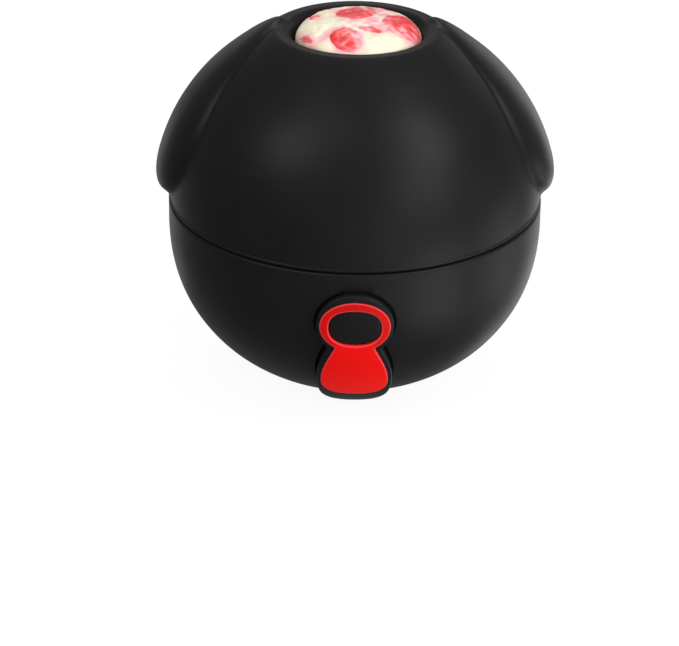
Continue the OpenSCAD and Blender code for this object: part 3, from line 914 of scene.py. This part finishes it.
# Fruit in the crown: outlines in millimetres seen from above, and which way each is ripest
CROWN_FRUIT = [
    ([(-5.2, 3.2), (-3.4, 0.4), (-0.4, -1.2), (2.6, 1.0), (4.2, 5.0), (3.2, 9.2), (-0.6, 9.8), (-4.0, 7.0)],
     (-0.5, -0.8)),
    ([(4.6, -4.4), (8.0, -5.4), (10.6, -7.0), (12.4, -5.4), (12.9, -2.0), (12.4, 2.4), (9.8, 5.6),
      (6.2, 3.8), (4.6, -0.4)], (0.5, 0.6)),
    ([(-6.4, -6.9), (-5.4, -9.8), (-3.6, -12.4), (-0.2, -12.9), (1.0, -10.2), (0.2, -6.2), (-2.0, -4.2),
      (-4.6, -4.8)], (-0.9, 0.0)),
    ([(-0.8, -4.0), (0.8, -5.8), (3.4, -6.9), (5.6, -6.0), (3.4, -4.4), (0.8, -3.4)], (0.6, -0.4)),
    ([(-11.0, 2.6), (-9.4, 1.2), (-7.8, 2.4), (-8.2, 4.8), (-10.0, 4.8)], (-0.5, 0.5)),
    ([(-12.6, -3.6), (-11.4, -6.4), (-9.6, -8.7), (-8.8, -7.4), (-10.4, -4.8)], (-0.5, -0.5)),
    ([(-8.6, 7.6), (-6.4, 8.2), (-6.0, 10.4), (-8.0, 9.8)], (0.5, 0.5)),
    ([(2.4, 9.9), (5.6, 7.6), (8.2, 7.4), (7.0, 9.6), (4.2, 11.4)], (0.5, 0.5)),
]
# Where juice has washed the cream pink, and how strongly
CROWN_WASH = [
    ([(-4.0, 1.0), (-1.0, -3.0), (1.5, -5.5), (5.5, -5.5), (7.5, 0.0), (8.0, 6.0), (3.5, 8.0), (2.0, 1.5)],
     0.95),
    ([(-2.5, -5.0), (0.8, -3.5), (1.8, -8.0), (0.8, -13.0), (-2.0, -12.8)], 0.5),
    ([(-12.5, -2.0), (-10.0, -3.5), (-8.0, -8.0), (-11.0, -7.5)], 0.4),
]


def crown_height(x, y):
    """Height above the seam of the cover's filling: full at the back, sloping down in front."""
    r = np.hypot(x, y)
    flat = CROWN_R - CROWN_ROUND
    fallen = np.sqrt(np.maximum(0, CROWN_ROUND ** 2 - np.maximum(0, r - flat) ** 2))
    side = CROWN_TOP - CROWN_FALL - CROWN_ROUND + fallen
    full = np.where(r < flat, CROWN_TOP - CROWN_FALL * (r / flat) ** 2, side)
    slope = CROWN_FRONT + (CROWN_SLOPE_TOP - CROWN_FRONT) * (1 - np.minimum(r / CROWN_R, 1) ** 2)
    share = smoothstep((y / CROWN_R + CROWN_SLOPE_FROM) / CROWN_SLOPE_OVER)
    uneven = waves(x, y, frequency=0.33, size=0.3) + waves(x, y, frequency=1.0, size=0.09)
    return slope + (full - slope) * share + uneven * np.clip((CROWN_R - r) / CROWN_EVEN_RIM, 0, 1)


def on_crown(flat, heights):
    height = crown_height(flat[:, 0], flat[:, 1]) + heights
    return np.stack([flat[:, 0] + CROWN_SHIFT, flat[:, 1], SEAM + height], 1)


def fruit_height(away):
    return FRUIT_EDGE_PROUD + FRUIT_PROUD * (1 - np.exp(-away / FRUIT_SWELL))


def fruit_outline(corners, index):
    """A fruit piece's outline, softened and with an uneven edge."""
    outline = softened(counter_clockwise(np.array(corners)), step=0.3, passes=24)
    x, y = outline[:, 0] + index, outline[:, 1]
    wavy = np.stack([waves(x, y, frequency=1.3, size=1), waves(y, x, frequency=1.3, size=1)], 1)
    return outline + FRUIT_WAVE * wavy


def fruit_ripeness(points, outline, ripe_way, index):
    """How ripe a fruit piece is at its points: most on one side, and pale at its edge."""
    spots = np.array(points)[:, :2] - [CROWN_SHIFT, 0]
    middle = outline.mean(0)
    reach = np.abs((outline - middle) @ np.array(ripe_way)).max()
    lean = (spots - middle) @ np.array(ripe_way) / reach
    uneven = waves(spots[:, 0] + 3 * index, spots[:, 1], frequency=0.8, size=0.55)
    inside = np.clip(distance_to(spots, outline) / RIPE_SKIN, 0, 1)
    return np.clip(RIPE_MIDDLE + RIPE_MIDDLE * lean + uneven, 0, 1) * inside ** RIPE_SKIN_POWER


def make_crown():
    bottom_angle = math.degrees(math.asin(PLUG_BOTTOM / PLUG_R))
    hole_angle = math.degrees(math.acos(CROWN_R / PLUG_R))
    wall = joined(
        level(PLUG_BOTTOM, NEAR_AXIS, FILLING_MIDWAY),
        arc(0, 0, PLUG_R, bottom_angle, hole_angle, 14),
        level(CROWN_WALL_TOP, CROWN_R),
    )
    outline, off = topped(wall, CROWN_R, CROWN_RIM, CROWN_TOP_FROM, CROWN_TOP_RINGS)
    grid = turned_grid(outline, even_angles(CROWN_TURNS))
    top = grid[:, len(wall):]
    top[:, :, 2] = crown_height(top[:, :, 0], top[:, :, 1]) + off
    grid[:, :, 2] += SEAM
    points, faces = capped(grid)
    flat = points[:, :2].copy()
    points[:, 0] += CROWN_SHIFT * smoothstep((points[:, 2] - SEAM - CROWN_SHIFT_FROM) / CROWN_SHIFT_OVER)
    piece = make_mesh("crown", points, faces, "filling", crown_cream, ["treat_plug"])
    wash = np.zeros(len(points))
    for corners, strength in CROWN_WASH:
        outline = softened(counter_clockwise(np.array(corners)), step=0.5, passes=12)
        wash = np.maximum(wash, strength * np.exp(-(distance_outside(flat, outline) / WASH_REACH) ** 2))
    chunks, ripeness = [], []
    for index, (corners, ripe_way) in enumerate(CROWN_FRUIT):
        outline = fruit_outline(corners, index)
        wash = np.maximum(wash, np.exp(-distance_outside(flat, outline) / JUICE_REACH))
        points, faces = plate(outline, FRUIT_RINGS, on_crown, rise=fruit_height, spacing=0.32)
        chunks.append((points, faces))
        ripeness.extend(fruit_ripeness(points, outline, ripe_way, index))
    points, faces = joined_shapes(chunks)
    berries = make_mesh(
        "crown_fruit", points, faces, "filling", crown_berry, ["plug_fruit"]
    )
    set_attribute(berries, "ripe", ripeness)
    patchy = WASH_PATCHY + waves(flat[:, 0], flat[:, 1], frequency=0.7, size=0.9)
    stains = waves(flat[:, 0] + 20, flat[:, 1], frequency=0.28, size=1.6)
    stains = np.clip(stains - STAIN_LEAST, 0, STAIN_MOST)
    set_attribute(piece, "wash", np.clip(wash * patchy + stains, 0, 1))


# The filling of the base, with its pegs and fruit: heights above the foot


PEG_COUNT = 5
PEG_OUTER = 18.2
PEG_INNER = 8.4
PEG_WIDE = 5.6
PEG_NARROW = 2.8
PEG_DOME = 0.05
INSERT_TOP = 15.0
INSERT_TURNS = 96
# Rings of a peg: how far inside its outline, and height
PEG_RINGS = [
    (0, INSERT_TOP - 2), (0, PEG_TOP - 0.9), (0.08, PEG_TOP - 0.45), (0.3, PEG_TOP - 0.12),
    (0.7, PEG_TOP + PEG_DOME)
]
INSERT_EDGE_ANGLE = -43
DISC_EDGE_ANGLE = -41
DISC_TURNS = 220
DISC_RIM = [(1, 0.35), (0.99, 0.25)]
DISC_TOP_FROM = 0.97
DISC_TOP_RINGS = 50
DISC_WALL_SHORT = 1.2
DISC_WASH = 0.8
DISC_RIPE = 0.62
CUBE_SIZE = 4.6
CUBE_SHARES = (1.25, 1.1, 0.95)
CUBE_SIDES = np.array([1.05, 0.95, 1.0])
CUBE_TURN = 47
CUBE_STEPS = 8
CUBE_POWER = 6
CUBE_UNEVEN = 0.12
CUBE_GRAIN = 1.3
CUBE_PROUD = 0.75
CUBE_PROUD_UNEVEN = 0.4
CUBE_SEED_STEP = 3.1
# Places of the cubes, as shares of the room in the cup
DISC_FRUIT = [
    (-0.78, 0.43), (-0.32, 0.68), (-0.52, 0.42), (-0.16, 0.90), (0.20, 0.88), (-0.25, 0.30), (0.24, 0.34),
    (0.46, 0.56), (0.77, 0.44), (-0.22, -0.02), (0.09, -0.06), (0.84, 0.02), (0.48, -0.22), (-0.90, 0.08),
    (-0.64, -0.15), (0.00, -0.40), (-0.72, -0.46), (0.74, -0.46), (0.02, -0.76), (-0.38, -0.84)
]


def disc_height(x, y):
    return FILLING_TOP + waves(x, y, frequency=0.22, size=0.35) + waves(x, y, frequency=0.9, size=0.08)


def upright(flat, heights):
    return np.stack([flat[:, 0], flat[:, 1], heights], 1)


def peg_height(away):
    return PEG_TOP + PEG_DOME + PEG_DOME * away


def make_pegs():
    wide = PEG_OUTER - PEG_WIDE / 2
    narrow = PEG_INNER + PEG_NARROW / 2
    flank = math.degrees(math.acos((PEG_WIDE - PEG_NARROW) / 2 / (wide - narrow)))
    outline = joined(
        arc(narrow, 0, PEG_NARROW / 2, 180 - flank, 180 + flank, 12),
        arc(wide, 0, PEG_WIDE / 2, flank - 180, 180 - flank, 20)
    )
    shapes = []
    for i in range(PEG_COUNT):
        turned = turned_by(softened(outline, step=0.35, passes=2), 90 + 360 / PEG_COUNT * i)
        shapes.append(plate(turned, PEG_RINGS, upright, rise=peg_height))
    floor = joined(
        level(BOTTOM_WALL + FILL_GAP, NEAR_AXIS, FLOOR_MIDWAY),
        cup_floor(FILL_GAP, -90, INSERT_EDGE_ANGLE, 8),
        level(INSERT_TOP, FLOOR_MIDWAY, NEAR_AXIS)
    )
    floor[:, 1] = np.minimum(floor[:, 1], INSERT_TOP)
    shapes.append(capped(turned_grid(floor, even_angles(INSERT_TURNS))))
    points, faces = joined_shapes(shapes)
    make_mesh("pegs", points, faces, "base", peg_black, ["peg_insert"])


def cube(middle, size, turn, seed):
    """A cube of frozen fruit: rounded, uneven and set in the filling."""
    index, points, faces = {}, [], []

    def corner(i, j, k):
        if (i, j, k) not in index:
            index[i, j, k] = len(points)
            p = np.array([i, j, k]) * 2 / CUBE_STEPS - 1
            p = p / (np.abs(p) ** CUBE_POWER).sum() ** (1 / CUBE_POWER)
            grain = perlin.noise(Vector(p * CUBE_GRAIN) + Vector((seed, 0, 0)))
            points.append(p * (1 + CUBE_UNEVEN * grain))
        return index[i, j, k]

    for axis in range(3):
        for side in (0, CUBE_STEPS):
            outward = (side > 0) == (axis != 1)
            for a in range(CUBE_STEPS):
                for b in range(CUBE_STEPS):
                    quad = []
                    for u, v in ((a, b), (a + 1, b), (a + 1, b + 1), (a, b + 1)):
                        spot = [u, v]
                        spot.insert(axis, side)
                        quad.append(corner(*spot))
                    faces.append(tuple(quad if outward else quad[::-1]))
    points = np.array(points) * size / 2
    points[:, :2] = turned_by(points, turn)
    return points + middle, faces


def make_disc():
    wall = joined(
        level(INSERT_TOP, NEAR_AXIS, FILLING_MIDWAY),
        cup_floor(FILL_GAP, DISC_EDGE_ANGLE, 0, 8),
        level(FILLING_TOP - DISC_WALL_SHORT, MOUTH_R - FILL_GAP)
    )
    outline, off = topped(wall, MOUTH_R - FILL_GAP, DISC_RIM, DISC_TOP_FROM, DISC_TOP_RINGS)
    grid = turned_grid(outline, even_angles(DISC_TURNS))
    top = grid[:, len(wall):]
    top[:, :, 2] = disc_height(top[:, :, 0], top[:, :, 1]) + off
    points, faces = capped(grid)
    piece = make_mesh("disc", points, faces, "base", disc_cream, ["treat_disc"])
    flat = points[:, :2]
    wash = np.zeros(len(points))
    cubes = []
    for i, share in enumerate(DISC_FRUIT):
        x, y = np.array(share) * (MOUTH_R - CUBE_SIZE / 2)
        size = CUBE_SIZE * CUBE_SHARES[i % len(CUBE_SHARES)] * CUBE_SIDES
        proud = CUBE_PROUD + CUBE_PROUD_UNEVEN * perlin.noise(Vector((i * 1.7, 2.1, 0.4)))
        middle = np.array([x, y, disc_height(x, y) + proud - size[2] / 2])
        cubes.append(cube(middle, size, CUBE_TURN * i, i * CUBE_SEED_STEP))
        away = np.linalg.norm(flat - [x, y], axis=1) - size[0] / 2
        wash = np.maximum(wash, np.exp(-np.maximum(0, away) / JUICE_REACH))
    points, faces = joined_shapes(cubes)
    berries = make_mesh("disc_cubes", points, faces, "base", disc_berry, ["disc_fruit"])
    spots = np.array(points)
    ripeness = DISC_RIPE + waves(spots[:, 0], spots[:, 1], frequency=0.5, size=0.7)
    set_attribute(berries, "ripe", np.clip(ripeness, 0, 1))
    set_attribute(piece, "wash", np.clip(wash * DISC_WASH, 0, 1))


make_cover()
make_base()
make_front()
make_crown()
make_pegs()
make_disc()


# Camera, lights and floor


CAMERA_DISTANCE = 380.0
CAMERA_ELEVATION = 25.0
CAMERA_AZIMUTH = 0.4
CAMERA_ROLL = 0.8
FOCAL_PIXELS = 1752.1
SENSOR_WIDTH = 36.0
WIDTH, HEIGHT = 679, 646
# The pixel that the seam's middle falls on
AIM_PIXEL = (355.0, 189.0)
TARGET = Vector((0, 0, SEAM * MM))


def make_camera():
    data = bpy.data.cameras.new("camera")
    data.sensor_fit = "HORIZONTAL"
    data.sensor_width = SENSOR_WIDTH
    data.lens = FOCAL_PIXELS / WIDTH * SENSOR_WIDTH
    data.shift_x = (WIDTH / 2 - AIM_PIXEL[0]) / WIDTH
    data.shift_y = (AIM_PIXEL[1] - HEIGHT / 2) / WIDTH
    data.clip_start = 0.01
    data.clip_end = 20
    camera = bpy.data.objects.new("camera", data)
    bpy.context.scene.collection.objects.link(camera)
    up = math.radians(CAMERA_ELEVATION)
    round_z = math.radians(CAMERA_AZIMUTH)
    away = Vector((-math.sin(round_z) * math.cos(up), -math.cos(round_z) * math.cos(up), math.sin(up)))
    camera.location = TARGET + away * CAMERA_DISTANCE * MM
    look = (TARGET - camera.location).to_track_quat("-Z", "Y").to_matrix()
    roll = Matrix.Rotation(math.radians(CAMERA_ROLL), 3, "Z")
    camera.rotation_euler = (look @ roll).to_euler()
    bpy.context.scene.camera = camera
    return camera


camera = make_camera()


LIGHT_DISTANCE = 0.9
# Name, direction as the camera sees it (right, up, towards it), size in metres, power in watts
LIGHTS = [
    ("left_key", (-0.627, 0.378, 0.682), (0.34, 0.26), 2.0),
    ("right_key", (0.62, 0.47, 0.63), (0.3, 0.5), 4.3),
    ("right_front", (0.643, 0.0, 0.766), (0.45, 0.45), 2.9),
    ("left_high", (-0.321, 0.557, 0.766), (0.45, 0.45), 1.6),
    ("low_front", (0.3, -0.55, 0.78), (0.45, 0.45), 1.0),
    ("low_right", (0.672, -0.672, 0.309), (0.45, 0.45), 2.8),
    ("right_rim", (0.908, -0.33, -0.259), (0.4, 0.4), 1.15),
    ("top_rim", (0.0, 0.966, -0.259), (0.4, 0.4), 1.8),
    ("right_top_back", (0.604, 0.507, -0.616), (0.4, 0.4), 0.3),
    ("low_right_back", (0.459, -0.265, -0.848), (0.4, 0.4), 0.5),
    ("right_back", (0.53, 0.0, -0.848), (0.4, 0.4), 0.3),
    ("right_high_back", (0.459, 0.265, -0.848), (0.4, 0.4), 0.4),
    ("left_high_back", (-0.265, 0.459, -0.848), (0.4, 0.4), 0.13),
    ("left_back", (-0.53, 0.0, -0.848), (0.4, 0.4), 0.25),
]


def make_light(name, direction, size, power):
    """A soft box that looks at the ball."""
    data = bpy.data.lights.new(name, "AREA")
    data.shape = "RECTANGLE"
    data.size, data.size_y = size
    data.energy = power
    light = bpy.data.objects.new(name, data)
    bpy.context.scene.collection.objects.link(light)
    turn = camera.rotation_euler.to_matrix()
    light.location = TARGET + turn @ Vector(direction).normalized() * LIGHT_DISTANCE
    light.rotation_euler = (TARGET - light.location).to_track_quat("-Z", "Y").to_euler()
    light.visible_camera = False


for name, direction, size, power in LIGHTS:
    make_light(name, direction, size, power)

world = bpy.data.worlds.new("studio")
bpy.context.scene.world = world
world.use_nodes = True
background = world.node_tree.nodes["Background"]
background.inputs["Color"].default_value = (1, 1, 1, 1)
background.inputs["Strength"].default_value = 0.28


# The floor is a light table, in metres: pale and softly glowing


FLOOR_HALF = 8
FLOOR_CORNERS = [(x * FLOOR_HALF, y * FLOOR_HALF, 0) for x, y in ((-1, -1), (1, -1), (1, 1), (-1, 1))]
floor_mesh = bpy.data.meshes.new("floor")
floor_mesh.from_pydata(FLOOR_CORNERS, [], [(0, 1, 2, 3)])
floor = bpy.data.objects.new("floor", floor_mesh)
bpy.context.scene.collection.objects.link(floor)
floor.visible_diffuse = False
floor.visible_glossy = False
floor.visible_shadow = False
floor_material, _, floor_shader = new_material("floor_white")
floor_shader.inputs["Base Color"].default_value = (0.1, 0.1, 0.1, 1)
floor_shader.inputs["Roughness"].default_value = 0.9
floor_shader.inputs["Specular IOR Level"].default_value = 0.0
floor_shader.inputs["Emission Color"].default_value = (1, 1, 1, 1)
floor_shader.inputs["Emission Strength"].default_value = 0.93
floor_mesh.materials.append(floor_material)

bpy.context.scene.view_settings.view_transform = "Standard"
